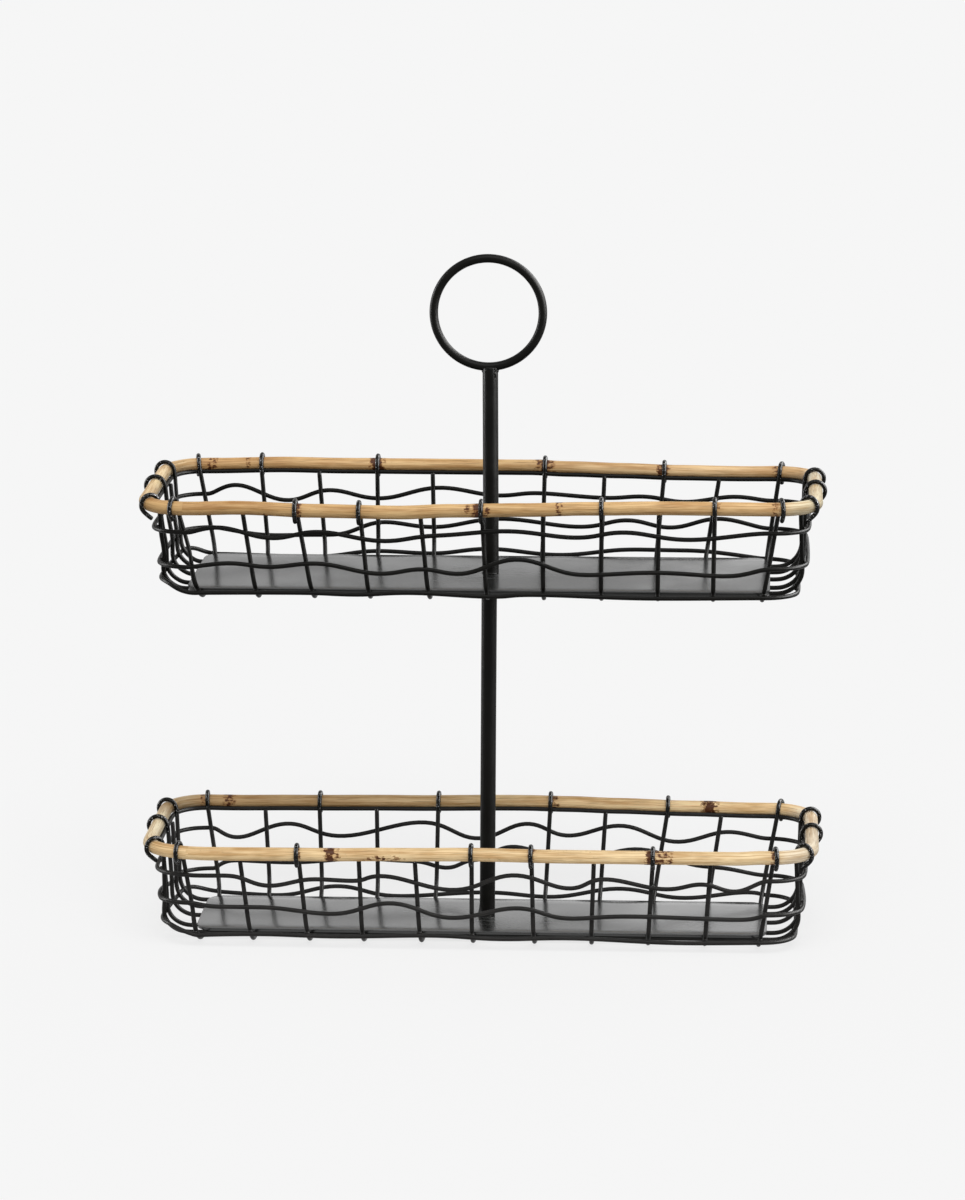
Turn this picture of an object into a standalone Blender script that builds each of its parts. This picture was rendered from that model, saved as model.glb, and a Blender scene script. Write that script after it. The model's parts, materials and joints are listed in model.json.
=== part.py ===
"""Two-tier storage basket: two oblong wire trays on one upright, with cane rims and a ring on top.

Metres, +Z up. X runs along the trays, -Y is the front, and the stand's feet are at Z = 0.
"""
import math
from dataclasses import dataclass

import bpy
from mathutils import Vector

# Stock that the stand is made from
WIRE_RADIUS = 0.0015
CANE_RADIUS = 0.0046
POLE_RADIUS = 0.005
RING_BAR_RADIUS = 0.0029
PLATE_THICKNESS = 0.001
GAP = 0.0003

# Plan of both trays, at the middle of the cane
HALF_LENGTH = 0.2215
CORNER_RADIUS = 0.028
UPPER_HALF_WIDTH = 0.0746
LOWER_HALF_WIDTH = 0.0684

# Heights: of the cane above each tray's underside, and of what stands on the lower tray
UPPER_RIM_HEIGHT = 0.0652
LOWER_RIM_HEIGHT = 0.0679
UPPER_TRAY_HEIGHT = 0.2373
RING_HEIGHT = 0.4201

# Upright and carrying ring, which stand a little to the right of the trays' middle
UPPER_POLE_OFFSET = 0.006
LOWER_POLE_OFFSET = 0.0048
RING_OFFSET = 0.0048
RING_RADIUS = 0.0362
LOWER_FILLET = 0.003
UPPER_FILLET = 0.0014
SADDLE_DEPTH = 0.0032

# Bottom plates, whose edges stop short of the middle of the cane by these margins
PLATE_END_MARGIN = 0.0295
UPPER_PLATE_SIDE_MARGIN = 0.0176
LOWER_PLATE_SIDE_MARGIN = 0.0279
PLATE_CORNER_RADIUS = 0.012

# Bent wires: the foot bends, how far the walls lean in, and the hooks over the cane
UPPER_SIDE_BEND_RADIUS = 0.018
LOWER_SIDE_BEND_RADIUS = 0.020
END_BEND_RADIUS = 0.017
UPPER_SIDE_LEAN = 0.0015
LOWER_SIDE_LEAN = 0.003
UPPER_LEFT_LEAN = 0.004
LOWER_LEFT_LEAN = 0.003
RIGHT_LEAN = 0.002
HOOK_SWEEP = math.radians(230)
HOOK_TAIL = 0.004
WAVE_CORNER_RADIUS = 0.0225

# Facets
WIRE_FACETS = 6
CANE_FACETS = 10
POLE_FACETS = 16
RING_STEPS = 40
RING_BAR_FACETS = 10
BEND_STEPS = 5
HOOK_STEPS = 7
CORNER_STEPS = 6
WAVE_CORNER_STEPS = 4
PLATE_CORNER_STEPS = 5
FILLET_STEPS = 3
WAVE_STEPS = 2

# How the pieces of a tray lie on each other; the lowest wires stand on a flat of their facets
WIRE_PITCH = WIRE_RADIUS + WIRE_RADIUS + GAP
CROSS_LEVEL = WIRE_RADIUS * math.cos(math.pi / WIRE_FACETS)
LONG_LEVEL = CROSS_LEVEL + WIRE_PITCH
PLATE_LEVEL = LONG_LEVEL + WIRE_RADIUS + GAP
PLATE_TOP = PLATE_LEVEL + PLATE_THICKNESS
HOOK_RADIUS = CANE_RADIUS + WIRE_RADIUS + GAP
RIM_WIRE_INSET = HOOK_RADIUS - WIRE_PITCH
RIM_WIRE_DROP = math.sqrt(HOOK_RADIUS ** 2 - RIM_WIRE_INSET ** 2)
STRAIGHT_LENGTH = HALF_LENGTH - CORNER_RADIUS
BEND_STEP_ANGLE = math.pi / 2 / BEND_STEPS

UP = Vector((0, 0, 1))
ALONG = Vector((1, 0, 0))
BACK = Vector((0, 1, 0))

# Colours, roughness and metallic values
BLACK_PAINT = ((0.011, 0.011, 0.010), 0.42, 0.0)
PLATE_PAINT = ((0.020, 0.020, 0.019), 0.38, 0.0)
CANE_SKIN = ((0.62, 0.41, 0.20), 0.45, 0.0)


@dataclass
class Tray:
    """What differs between the two hand-made trays.

    Place shares are of STRAIGHT_LENGTH along the tray and of half_width across it. A wire's name in
    hooks is H where it hooks over the cane and P where it stops plain at the rim wire. A wave is a
    row of (place share, height share) crests, troughs and bends, with heights as shares of the rim's.
    """
    name: str
    height: float
    half_width: float
    rim_height: float
    side_bend: float
    side_lean: float
    left_lean: float
    plate_side_margin: float
    front_place_shares: tuple
    back_place_shares: tuple
    front_foot_shares: tuple
    back_foot_shares: tuple
    front_hooks: str
    back_hooks: str
    wave_shares: dict


# Long wires, from the front to the back
LONG_RIM_SHARES = (-0.83, -0.43, 0.0, 0.36, 0.67)
LONG_FOOT_SHARES = (-0.56, -0.36, 0.0, 0.31, 0.56)
LONG_HOOKS = "HPHPH"

UPPER_TRAY = Tray(
    name="upper",
    height=UPPER_TRAY_HEIGHT,
    half_width=UPPER_HALF_WIDTH,
    rim_height=UPPER_RIM_HEIGHT,
    side_bend=UPPER_SIDE_BEND_RADIUS,
    side_lean=UPPER_SIDE_LEAN,
    left_lean=UPPER_LEFT_LEAN,
    plate_side_margin=UPPER_PLATE_SIDE_MARGIN,
    front_place_shares=(-1.035, -0.79, -0.605, -0.39, -0.187, 0.022, 0.228, 0.426, 0.618, 0.805, 1.028),
    back_place_shares=(-1.026, -0.80, -0.597, -0.39, -0.195, 0.007, 0.20, 0.41, 0.619, 0.814, 1.029),
    front_foot_shares=(-0.935, -0.744, -0.553, -0.363, -0.16, 0.036, 0.227, 0.422, 0.613, 0.80, 0.965),
    back_foot_shares=(-0.96, -0.775, -0.572, -0.387, -0.189, 0.005, 0.191, 0.397, 0.591, 0.763, 0.977),
    front_hooks="HPHHPHPHPHH",
    back_hooks="HHPHPPHPHPH",
    wave_shares={
        "top": (
            ((-1.0, 0.74), (-0.88, 0.79), (-0.69, 0.685), (-0.535, 0.77), (-0.31, 0.68), (-0.14, 0.735),
             (0.10, 0.775), (0.35, 0.70), (0.49, 0.75), (0.71, 0.68), (1.0, 0.75)),
            ((-1.0, 0.70), (-0.90, 0.79), (-0.71, 0.63), (-0.56, 0.74), (-0.39, 0.66), (-0.17, 0.775),
             (0.04, 0.70), (0.18, 0.73), (0.41, 0.70), (0.55, 0.725), (0.69, 0.675), (0.87, 0.745),
             (1.0, 0.70)),
        ),
        "middle": (
            ((-1.0, 0.37), (-0.83, 0.415), (-0.70, 0.38), (-0.545, 0.42), (-0.32, 0.32), (-0.18, 0.37),
             (-0.06, 0.325), (0.14, 0.48), (0.36, 0.325), (0.61, 0.355), (0.85, 0.325), (1.0, 0.40)),
            ((-1.0, 0.35), (-0.77, 0.27), (-0.55, 0.28), (-0.37, 0.42), (-0.20, 0.37), (0.04, 0.465),
             (0.33, 0.385), (0.49, 0.46), (0.64, 0.385), (0.81, 0.485), (1.0, 0.385)),
        ),
        "bottom": (
            ((-1.0, 0.12), (-0.59, 0.13), (-0.41, 0.115), (-0.23, 0.14), (0.06, 0.105), (0.18, 0.13),
             (0.60, 0.10), (1.0, 0.115)),
            ((-1.0, 0.10), (-0.61, 0.08), (-0.39, 0.14), (-0.20, 0.12), (0.0, 0.17), (0.25, 0.115),
             (0.51, 0.175), (0.71, 0.17), (1.0, 0.10)),
        ),
    },
)

LOWER_TRAY = Tray(
    name="lower",
    height=0,
    half_width=LOWER_HALF_WIDTH,
    rim_height=LOWER_RIM_HEIGHT,
    side_bend=LOWER_SIDE_BEND_RADIUS,
    side_lean=LOWER_SIDE_LEAN,
    left_lean=LOWER_LEFT_LEAN,
    plate_side_margin=LOWER_PLATE_SIDE_MARGIN,
    front_place_shares=(-1.028, -0.822, -0.618, -0.409, -0.217, -0.02, 0.185, 0.40, 0.602, 0.80, 1.02),
    back_place_shares=(-1.01, -0.80, -0.605, -0.40, -0.18, 0.005, 0.22, 0.418, 0.638, 0.83, 1.037),
    front_foot_shares=(-0.966, -0.785, -0.588, -0.40, -0.20, -0.022, 0.191, 0.388, 0.583, 0.778, 0.963),
    back_foot_shares=(-0.96, -0.783, -0.596, -0.396, -0.188, 0.0, 0.202, 0.397, 0.587, 0.782, 0.967),
    front_hooks="HPHPPHHPHPH",
    back_hooks="HPHPHPHPHPH",
    wave_shares={
        "top": (
            ((-1.0, 0.755), (-0.86, 0.76), (-0.72, 0.655), (-0.56, 0.73), (-0.42, 0.715), (-0.34, 0.765),
             (-0.08, 0.625), (0.13, 0.785), (0.32, 0.66), (0.43, 0.76), (0.65, 0.665), (0.77, 0.72),
             (0.88, 0.65), (1.0, 0.75)),
            ((-1.0, 0.73), (-0.91, 0.63), (-0.72, 0.78), (-0.54, 0.65), (-0.23, 0.80), (-0.04, 0.635),
             (0.14, 0.785), (0.28, 0.675), (0.47, 0.795), (0.67, 0.64), (0.86, 0.765), (1.0, 0.70)),
        ),
        "middle": (
            ((-1.0, 0.46), (-0.90, 0.425), (-0.75, 0.425), (-0.50, 0.365), (-0.30, 0.485), (-0.09, 0.34),
             (0.14, 0.45), (0.31, 0.35), (0.52, 0.38), (0.91, 0.36), (1.0, 0.41)),
            ((-1.0, 0.30), (-0.92, 0.385), (-0.72, 0.37), (-0.45, 0.42), (-0.27, 0.40), (-0.15, 0.335),
             (-0.05, 0.42), (0.08, 0.56), (0.30, 0.42), (0.53, 0.555), (0.78, 0.38), (1.0, 0.30)),
        ),
        "bottom": (
            ((-1.0, 0.125), (-0.75, 0.145), (-0.50, 0.13), (-0.15, 0.155), (0.08, 0.125), (0.30, 0.145),
             (0.71, 0.105), (1.0, 0.12)),
            ((-1.0, 0.085), (-0.75, 0.06), (-0.54, 0.15), (-0.34, 0.065), (0.0, 0.11), (0.22, 0.075),
             (0.47, 0.16), (0.69, 0.08), (0.93, 0.14), (1.0, 0.12)),
        ),
    },
)


def make_material(name, colour, roughness, metallic):
    """Return a Principled material of one colour."""
    material = bpy.data.materials.new(name)
    material.use_nodes = True
    shader = material.node_tree.nodes["Principled BSDF"]
    shader.inputs["Base Color"].default_value = (*colour, 1)
    shader.inputs["Roughness"].default_value = roughness
    shader.inputs["Metallic"].default_value = metallic
    return material


def link(obj, group, parent, finish):
    """Put an object in its collection, under its parent, with a material of its own."""
    group.objects.link(obj)
    obj.parent = parent
    obj.data.materials.append(make_material(obj.name + "_finish", *finish))
    return obj


def bevelled_curve(name, points, radius, facets, cyclic=False):
    """Return a tube along a row of points, with one of its facets facing down."""
    curve = bpy.data.curves.new(name, "CURVE")
    curve.dimensions = "3D"
    curve.bevel_depth = radius
    curve.bevel_resolution = facets // 2 - 2
    curve.use_fill_caps = not cyclic
    spline = curve.splines.new("POLY")
    spline.points.add(len(points) - 1)
    for spline_point, point in zip(spline.points, points):
        spline_point.co = (*point, 1)
    spline.use_cyclic_u = cyclic
    spline.use_smooth = True
    return bpy.data.objects.new(name, curve)


def corner_fallback(place, straight):
    """Return the cane's turn at a place past its straight side, and how far it has fallen back."""
    past = max(abs(place) - straight, 0)
    turn = math.asin(min(past / CORNER_RADIUS, 1))
    return math.copysign(turn, place), CORNER_RADIUS * (1 - math.cos(turn))


@dataclass
class Wall:
    """One wall of a tray, as the wires that stand in it need it."""
    outward: Vector
    along: Vector
    reach: float
    straight: float
    level: float
    bend: float
    lean: float
    rim_height: float

    def flat(self):
        """Return how far the wires run level before they bend up."""
        return self.reach - HOOK_RADIUS - self.lean - self.bend

    def bend_corner_radius(self):
        """Return the distance from a foot bend's centre to the corners of its straight steps."""
        return self.bend / math.cos(BEND_STEP_ANGLE / 2)

    def knee(self):
        """Return the height of the foot bend's last corner, from which the wires stand up."""
        return self.level + self.bend - self.bend * math.tan(BEND_STEP_ANGLE / 2)


def side_wall(tray, sign):
    """Return a long wall of a tray: sign is -1 for the front and 1 for the back."""
    return Wall(BACK * sign, ALONG, tray.half_width, STRAIGHT_LENGTH, CROSS_LEVEL,
                tray.side_bend, tray.side_lean, tray.rim_height)


def end_wall(tray, sign):
    """Return an end wall of a tray: sign is -1 for the left and 1 for the right."""
    lean = tray.left_lean if sign < 0 else RIGHT_LEAN
    return Wall(ALONG * sign, BACK, HALF_LENGTH, tray.half_width - CORNER_RADIUS, LONG_LEVEL,
                END_BEND_RADIUS, lean, tray.rim_height)


def leg_points(wall, rim_place, foot_place, hooked):
    """Return half a bent wire, from the start of its foot bend up to its end at the rim."""
    turn, fallback = corner_fallback(rim_place, wall.straight)
    normal = wall.outward * math.cos(turn) + wall.along * math.sin(turn)
    cane = wall.outward * (wall.reach - fallback) + wall.along * rim_place + UP * wall.rim_height
    top = cane - normal * HOOK_RADIUS
    flat = wall.flat()
    rise = wall.rim_height - wall.level

    def at(out, height):
        share = (height - wall.level) / rise
        place = foot_place + (top.dot(wall.along) - foot_place) * share
        return wall.outward * out + wall.along * place + UP * height

    points = []
    for step in range(BEND_STEPS):
        angle = (step + 0.5) * BEND_STEP_ANGLE
        points.append(at(flat + wall.bend_corner_radius() * math.sin(angle),
                         wall.level + wall.bend - wall.bend_corner_radius() * math.cos(angle)))
    if not hooked:
        end_height = wall.rim_height - RIM_WIRE_DROP + WIRE_RADIUS
        knee_out = flat + wall.bend
        share = (end_height - wall.knee()) / (wall.rim_height - wall.knee())
        points.append(at(knee_out + (top.dot(wall.outward) - knee_out) * share, end_height))
        return points
    step_angle = HOOK_SWEEP / HOOK_STEPS
    chord_radius = HOOK_RADIUS / math.cos(step_angle / 2)
    for step in range(HOOK_STEPS + 1):
        angle = math.pi - step * step_angle
        points.append(cane + (normal * math.cos(angle) + UP * math.sin(angle)) * chord_radius)
    end_angle = math.pi - HOOK_SWEEP
    tail = normal * math.sin(end_angle) - UP * math.cos(end_angle)
    points.append(points[-1] + tail * HOOK_TAIL)
    return points


def bent_wire(name, walls, rim_places, foot_places, hooks):
    """Return a U-shaped wire between two walls, with its origin at the middle of its foot."""
    first = leg_points(walls[0], rim_places[0], foot_places[0], hooks[0] == "H")
    second = leg_points(walls[1], rim_places[1], foot_places[1], hooks[1] == "H")
    origin = (first[0] + second[0]) / 2
    points = [point - origin for point in reversed(first)] + [point - origin for point in second]
    wire = bevelled_curve(name, points, WIRE_RADIUS, WIRE_FACETS)
    wire.location = origin
    return wire


def hoop_points(half_length, half_width, corner_radius, height, steps):
    """Return the corners' points of a level hoop with straight sides and round corners."""
    points = []
    for corner, (x_sign, y_sign) in enumerate(((1, -1), (1, 1), (-1, 1), (-1, -1))):
        centre = Vector((x_sign * (half_length - corner_radius),
                         y_sign * (half_width - corner_radius), height))
        for step in range(steps + 1):
            angle = math.pi / 2 * (corner - 1 + step / steps)
            points.append(centre + Vector((math.cos(angle), math.sin(angle), 0)) * corner_radius)
    return points


def wave_reach(wall, height):
    """Return how far out a wavy wire lies at a height, so that it lies on the wires of a wall."""
    if height < wall.knee():
        drop = wall.level + wall.bend - height
        return wall.flat() + math.sqrt((wall.bend_corner_radius() + WIRE_PITCH) ** 2 - drop ** 2)
    lean_left = wall.lean * (wall.rim_height - height) / (wall.rim_height - wall.knee())
    return wall.reach - HOOK_RADIUS - lean_left + WIRE_PITCH


def wave_rows(wave, rim_height):
    """Return (place, height) along one side, with eased steps between the crests and troughs."""
    rows = []
    for (start, low), (end, high) in zip(wave, wave[1:]):
        for step in range(WAVE_STEPS):
            share = (step + 0.5) / WAVE_STEPS
            eased = (1 - math.cos(math.pi * share)) / 2
            rows.append(((start + (end - start) * share) * STRAIGHT_LENGTH,
                         (low + (high - low) * eased) * rim_height))
    return rows


def wavy_ring(name, tray, waves):
    """Return a wavy wire that runs round the outside of a tray's bent wires."""
    side = side_wall(tray, 1)
    front_wave, back_wave = waves

    def corner(x_sign, y_sign, height):
        half_length, half_width = wave_reach(end_wall(tray, x_sign), height), wave_reach(side, height)
        centre = Vector((x_sign * (half_length - WAVE_CORNER_RADIUS),
                         y_sign * (half_width - WAVE_CORNER_RADIUS), height))
        first = {(1, -1): -1, (1, 1): 0, (-1, 1): 1, (-1, -1): 2}[x_sign, y_sign]
        steps = range(WAVE_CORNER_STEPS + 1)
        turns = [math.pi / 2 * (first + step / WAVE_CORNER_STEPS) for step in steps]
        return [centre + Vector((math.cos(turn), math.sin(turn), 0)) * WAVE_CORNER_RADIUS
                for turn in turns]

    points = [Vector((place, -wave_reach(side, height), height))
              for place, height in wave_rows(front_wave, tray.rim_height)]
    points += corner(1, -1, front_wave[-1][1] * tray.rim_height)
    points += corner(1, 1, back_wave[-1][1] * tray.rim_height)
    points += [Vector((place, wave_reach(side, height), height))
               for place, height in reversed(wave_rows(back_wave, tray.rim_height))]
    points += corner(-1, 1, back_wave[0][1] * tray.rim_height)
    points += corner(-1, -1, front_wave[0][1] * tray.rim_height)
    return bevelled_curve(name, points, WIRE_RADIUS, WIRE_FACETS, cyclic=True)


def base_plate(tray):
    """Return a tray's flat bottom plate, which lies on its long wires."""
    curve = bpy.data.curves.new(tray.name + "_base_plate", "CURVE")
    curve.dimensions = "2D"
    curve.fill_mode = "BOTH"
    curve.extrude = PLATE_THICKNESS / 2
    outline = hoop_points(HALF_LENGTH - PLATE_END_MARGIN, tray.half_width - tray.plate_side_margin,
                          PLATE_CORNER_RADIUS, 0, PLATE_CORNER_STEPS)
    spline = curve.splines.new("POLY")
    spline.points.add(len(outline) - 1)
    for spline_point, point in zip(spline.points, outline):
        spline_point.co = (*point, 1)
    spline.use_cyclic_u = True
    plate = bpy.data.objects.new(curve.name, curve)
    plate.location = UP * (PLATE_LEVEL + PLATE_THICKNESS / 2)
    return plate


def make_tray(tray, group):
    """Build every piece of one tray under an empty at its underside."""
    holder = bpy.data.objects.new(tray.name + "_tray", None)
    holder.location = UP * tray.height
    group.objects.link(holder)

    sides = (side_wall(tray, -1), side_wall(tray, 1))
    rims = zip(tray.front_place_shares, tray.back_place_shares)
    feet = zip(tray.front_foot_shares, tray.back_foot_shares)
    hooks = zip(tray.front_hooks, tray.back_hooks)
    for number, (rim, foot, hook) in enumerate(zip(rims, feet, hooks), 1):
        rim_places = [share * STRAIGHT_LENGTH for share in rim]
        foot_places = [share * STRAIGHT_LENGTH for share in foot]
        wire = bent_wire(f"{tray.name}_cross_wire_{number:02}", sides, rim_places, foot_places, hook)
        link(wire, group, holder, BLACK_PAINT)

    ends = (end_wall(tray, -1), end_wall(tray, 1))
    for number, (rim, foot, hook) in enumerate(zip(LONG_RIM_SHARES, LONG_FOOT_SHARES, LONG_HOOKS), 1):
        rim_places = [rim * tray.half_width] * 2
        foot_places = [foot * tray.half_width] * 2
        wire = bent_wire(f"{tray.name}_long_wire_{number}", ends, rim_places, foot_places, hook * 2)
        link(wire, group, holder, BLACK_PAINT)

    rim_wire = hoop_points(HALF_LENGTH - RIM_WIRE_INSET, tray.half_width - RIM_WIRE_INSET,
                           CORNER_RADIUS - RIM_WIRE_INSET, tray.rim_height - RIM_WIRE_DROP,
                           CORNER_STEPS)
    link(bevelled_curve(tray.name + "_rim_wire", rim_wire, WIRE_RADIUS, WIRE_FACETS, cyclic=True),
         group, holder, BLACK_PAINT)
    cane = hoop_points(HALF_LENGTH, tray.half_width, CORNER_RADIUS, tray.rim_height, CORNER_STEPS)
    link(bevelled_curve(tray.name + "_cane_rim", cane, CANE_RADIUS, CANE_FACETS, cyclic=True),
         group, holder, CANE_SKIN)
    for level, waves in tray.wave_shares.items():
        link(wavy_ring(f"{tray.name}_wavy_ring_{level}", tray, waves), group, holder, BLACK_PAINT)
    link(base_plate(tray), group, holder, PLATE_PAINT)


def turned_pole(name, length, fillet):
    """Return a round bar that stands on its weld fillet, as a profile turned about its axis."""
    profile = [(0, length), (POLE_RADIUS, length)]
    for step in range(FILLET_STEPS + 1):
        angle = math.pi / 2 * step / FILLET_STEPS
        profile.append((POLE_RADIUS + fillet * (1 - math.cos(angle)), fillet * (1 - math.sin(angle))))
    profile.append((0, 0))
    mesh = bpy.data.meshes.new(name)
    edges = [(start, start + 1) for start in range(len(profile) - 1)]
    mesh.from_pydata([(x, 0, z) for x, z in profile], edges, [])
    pole = bpy.data.objects.new(name, mesh)
    screw = pole.modifiers.new("Turn", "SCREW")
    screw.axis = "Z"
    screw.steps = screw.render_steps = POLE_FACETS
    screw.use_merge_vertices = True
    screw.merge_threshold = GAP / 10
    return pole


def ring_bar(name, radius):
    """Return a round bar bent into the upright carrying ring."""
    bpy.ops.mesh.primitive_torus_add(major_segments=RING_STEPS, minor_segments=RING_BAR_FACETS,
                                     major_radius=RING_RADIUS, minor_radius=radius,
                                     location=(RING_OFFSET, 0, RING_HEIGHT),
                                     rotation=(math.pi / 2, 0, 0))
    ring = bpy.context.object
    ring.name = ring.data.name = name
    ring.users_collection[0].objects.unlink(ring)
    return ring


def make_upright(group, cutters):
    """Build the two lengths of the upright and the ring that it carries."""
    foot = PLATE_TOP + GAP
    lower = turned_pole("lower_pole", UPPER_TRAY_HEIGHT - GAP - foot, LOWER_FILLET)
    lower.location = (LOWER_POLE_OFFSET, 0, foot)
    link(lower, group, None, BLACK_PAINT)

    foot = UPPER_TRAY_HEIGHT + PLATE_TOP + GAP
    top = RING_HEIGHT - RING_RADIUS - RING_BAR_RADIUS + SADDLE_DEPTH
    upper = turned_pole("upper_pole", top - foot, UPPER_FILLET)
    upper.location = (UPPER_POLE_OFFSET, 0, foot)
    link(upper, group, None, BLACK_PAINT)

    cutter = ring_bar("saddle_cutter", RING_BAR_RADIUS + GAP)
    cutter.hide_render = True
    cutter.display_type = "WIRE"
    cutters.objects.link(cutter)
    saddle = upper.modifiers.new("Saddle", "BOOLEAN")
    saddle.operation = "DIFFERENCE"
    saddle.object = cutter
    link(ring_bar("ring_handle", RING_BAR_RADIUS), group, None, BLACK_PAINT)


def main():
    """Clear the scene and build the basket."""
    for obj in list(bpy.data.objects):
        bpy.data.objects.remove(obj)
    group = bpy.data.collections.new("storage_basket")
    cutters = bpy.data.collections.new("cutters")
    bpy.context.scene.collection.children.link(group)
    bpy.context.scene.collection.children.link(cutters)
    make_tray(LOWER_TRAY, group)
    make_tray(UPPER_TRAY, group)
    make_upright(group, cutters)


main()
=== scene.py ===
"""Looks of the two-tier storage basket: round wires, canes with knots, welds, paint and a studio.

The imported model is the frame, and each piece but the welds is shaped on one of its nodes. The file
is laid out as an add-on and is run as a script.
"""
import json
import math
from dataclasses import dataclass
from functools import partialmethod

import bmesh
import bpy
from bpy.props import FloatProperty, FloatVectorProperty, PointerProperty
from mathutils import Matrix, Vector, noise
from mathutils.bvhtree import BVHTree

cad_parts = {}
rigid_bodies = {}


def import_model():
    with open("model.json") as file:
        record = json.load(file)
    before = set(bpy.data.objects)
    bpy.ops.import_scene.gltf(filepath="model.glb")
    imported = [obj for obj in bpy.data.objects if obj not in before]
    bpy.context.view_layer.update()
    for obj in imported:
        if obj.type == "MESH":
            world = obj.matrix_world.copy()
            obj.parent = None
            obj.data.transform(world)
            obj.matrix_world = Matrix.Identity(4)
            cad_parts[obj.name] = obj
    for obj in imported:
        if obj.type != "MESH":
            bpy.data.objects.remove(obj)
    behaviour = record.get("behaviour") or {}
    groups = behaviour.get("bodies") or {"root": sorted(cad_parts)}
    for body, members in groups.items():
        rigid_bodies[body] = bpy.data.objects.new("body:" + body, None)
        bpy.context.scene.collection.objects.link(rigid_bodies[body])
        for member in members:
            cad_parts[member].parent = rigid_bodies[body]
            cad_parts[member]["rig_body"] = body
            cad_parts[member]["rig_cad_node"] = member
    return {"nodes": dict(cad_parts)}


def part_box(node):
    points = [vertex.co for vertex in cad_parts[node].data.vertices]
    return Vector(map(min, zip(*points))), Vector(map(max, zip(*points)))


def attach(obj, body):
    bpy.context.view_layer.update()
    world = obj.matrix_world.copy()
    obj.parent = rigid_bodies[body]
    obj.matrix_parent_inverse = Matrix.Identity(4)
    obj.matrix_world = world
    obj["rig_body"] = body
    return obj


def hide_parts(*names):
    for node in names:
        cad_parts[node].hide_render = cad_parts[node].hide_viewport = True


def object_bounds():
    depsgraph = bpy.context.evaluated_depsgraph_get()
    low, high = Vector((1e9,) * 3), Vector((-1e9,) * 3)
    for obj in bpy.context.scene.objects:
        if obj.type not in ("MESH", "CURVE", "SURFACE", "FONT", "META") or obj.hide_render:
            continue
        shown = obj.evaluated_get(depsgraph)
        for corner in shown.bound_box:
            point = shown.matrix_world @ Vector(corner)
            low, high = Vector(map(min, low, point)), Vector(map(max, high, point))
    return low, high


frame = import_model()
CAD_LOW, CAD_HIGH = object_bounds()

bl_info = {
    "name": "Two-tier storage basket",
    "version": (1, 0, 0),
    "blender": (4, 5, 0),
    "location": "3D View > Sidebar > Basket",
    "description": "Rounds, welds and finishes the wire trays, canes and upright of a storage basket",
    "category": "Object",
}

MM = 0.001
UP = Vector((0, 0, 1))
BODY = "root"
TRAYS = ("upper", "lower")
WAVE_LEVELS = ("top", "middle", "bottom")

FRONT, BACK = -1, 1
MERGE_DISTANCE = 0.01 * MM
QUAD_ANGLE = math.radians(40)
SHARP_ANGLE = math.radians(50)
ANGLE_SLACK = 1e-6
FACING_DOWN = -0.9

# Bent wires
WIRE_FACETS = 6
END_EDGE_ANGLE = math.radians(75)
END_BEVEL = 0.45 * MM
WIRE_STEP = 11 * MM
ROUND_LEVELS = 2
HOOK_REACH = 9 * MM
LONG_TAIL = 3.2 * MM
FRONT_WIRE = "long_wire_1"
FRONT_WIRE_DROP = 0.7 * MM
FRONT_WIRE_FADE = 30 * MM
RIM_WIRE_RISE = 1.7 * MM
RIM_WIRE_SHIFT = 1.6 * MM

# Wavy rings: each is rebuilt as one smooth curve through the middles of its tube
GIRTH_EDGE = 2.5 * MM
HOLD_STEPS = 12
WIRE_ROUNDNESS = 4
WIRE_CURVE_STEPS = 5
WIRE_CURVE_ORDER = 4
# The lowest ring hangs lower, but climbs at its left end, and moves out to stay on the bends
LOW_RING_DROPS = {"upper": 1.4 * MM, "lower": 0.6 * MM}
LOW_RING_CLIMB = 6.5 * MM
LOW_RING_CLIMB_OUT = 2.8 * MM
LOW_RING_CLIMB_RUN = (187 * MM, 209 * MM)

# Canes
CORNER_RADIUS = 28 * MM
CANE_FACETS = 10
CANE_SIDES = 24
CANE_STEP = 3 * MM
CANE_MERGE = 0.05 * MM
CANE_CORNER_STEPS = 14
CANE_UNEVENNESS = 0.10 * MM
SLOW_SHARE, QUICK_SHARE = 1.6, 0.4
SLOW_SCALE, CANE_SCALE, QUICK_SCALE = 18, 50, 160
CANE_SWELL_LENGTH = 5 * MM


@dataclass
class CaneTints:
    """Tints of a cane: all over, then pairs for the left and right: painted shade and light along its
    sides, a painted sheen on its bends, and painted shade and light on its back.
    """
    shade: tuple
    side_light_and_shade: tuple
    bend_sheens: tuple
    back_light_and_shade: tuple


CANE_TINTS = {
    "upper": CaneTints(
        shade=(1.00, 0.87, 0.66),
        side_light_and_shade=((0.86, 0.81, 0.75), (1.12, 1.13, 1.18)),
        bend_sheens=((1.24, 1.46, 1.82), (1.24, 1.62, 2.38)),
        back_light_and_shade=((1.0, 1.0, 1.04), (0.96, 1.0, 1.10))),
    "lower": CaneTints(
        shade=(1.17, 1.14, 1.03),
        side_light_and_shade=((0.95, 0.93, 0.90), (1.10, 1.15, 1.22)),
        bend_sheens=((1.06, 1.22, 1.50), (1.07, 1.24, 1.66)),
        back_light_and_shade=((0.68, 0.62, 0.56), (1.16, 1.13, 1.10))),
}
# Where these tints of painted light, shade and sheen fade in: along X for the left and right ones, along
# Y for the back
# Painted shade darkens each side's left and painted light makes its right paler
LEFT_PAINTED_SHADE, RIGHT_PAINTED_LIGHT = (-150 * MM, -60 * MM), (30 * MM, 190 * MM)
# Painted sheen whitens the bends, where a cane seen along its length shows a pale reflection
LEFT_BEND_SHEEN, RIGHT_BEND_SHEEN = (-210 * MM, -194 * MM), (194 * MM, 210 * MM)
LEFT_BEND_FRONT, RIGHT_BEND_BACK = (-66 * MM, -46 * MM), (46 * MM, 66 * MM)
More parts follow.
